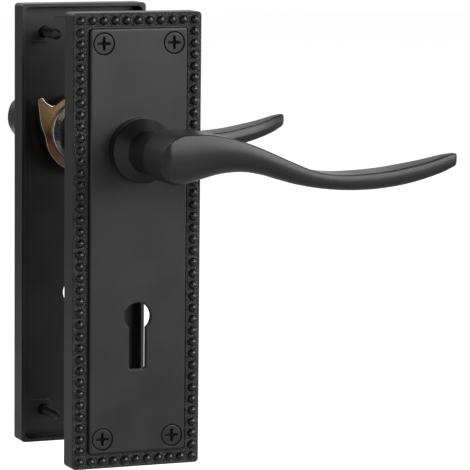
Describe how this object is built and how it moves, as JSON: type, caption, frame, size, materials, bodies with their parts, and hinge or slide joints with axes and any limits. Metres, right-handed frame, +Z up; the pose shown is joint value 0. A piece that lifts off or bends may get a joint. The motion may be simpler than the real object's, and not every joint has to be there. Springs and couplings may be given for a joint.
{
  "type": "lever_handle_set",
  "caption": "Lever door handle set on beaded lock backplates, black finish, with keyhole, sprung levers, square spindle and countersunk fixing screws",
  "frame": {"origin": "On the spindle axis, halfway through the door", "axes": "+X along the levers from the spindle to the tips, +Y through the door from the front plate to the rear plate, +Z up"},
  "size_m": [0.1211, 0.1618, 0.155],
  "materials": {
    "black_casting": "satin black powder coat on die-cast zinc",
    "black_nylon": "moulded nylon",
    "gold_zinc_plate": "yellow-passivated zinc plate on pressed steel",
    "spring_steel": "bright spring steel",
    "black_screw_steel": "black-plated steel screw",
    "bright_steel": "cold-drawn bright zinc-plated steel"
  },
  "bodies": {
    "plates": {"front_backplate": "black_casting", "rear_backplate": "black_casting", "front_bush": "black_nylon", "rear_bush": "black_nylon", "front_return_spring": "spring_steel", "rear_return_spring": "spring_steel", "front_screw_top_left": "black_screw_steel", "front_screw_top_right": "black_screw_steel", "front_screw_bottom_left": "black_screw_steel", "front_screw_bottom_right": "black_screw_steel", "rear_screw_top_left": "black_screw_steel", "rear_screw_top_right": "black_screw_steel", "rear_screw_bottom_left": "black_screw_steel", "rear_screw_bottom_right": "black_screw_steel"},
    "front_handle": {"front_lever": "black_casting", "front_cam_plate": "gold_zinc_plate", "front_circlip": "spring_steel", "front_grub_screw": "black_screw_steel", "spindle": "bright_steel"},
    "rear_handle": {"rear_lever": "black_casting", "rear_cam_plate": "gold_zinc_plate", "rear_circlip": "spring_steel", "rear_grub_screw": "black_screw_steel"}
  },
  "joints": [
    {"name": "front_lever_turn", "type": "hinge", "parent": "plates", "child": "front_handle", "pos_m": [0, 0, 0], "axis": [0, 1, 0], "range_deg": [0, 40], "stiffness_Nm_per_rad": 0.3, "springref_deg": -28.65, "deforming": ["front_return_spring"]},
    {"name": "rear_lever_turn", "type": "hinge", "parent": "plates", "child": "rear_handle", "pos_m": [0, 0, 0], "axis": [0, 1, 0], "range_deg": [0, 40], "stiffness_Nm_per_rad": 0.3, "springref_deg": -28.65, "deforming": ["rear_return_spring"]}
  ],
  "couplings": [
    {"joint": "rear_lever_turn", "follows": "front_lever_turn", "ratio": 1}
  ]
}
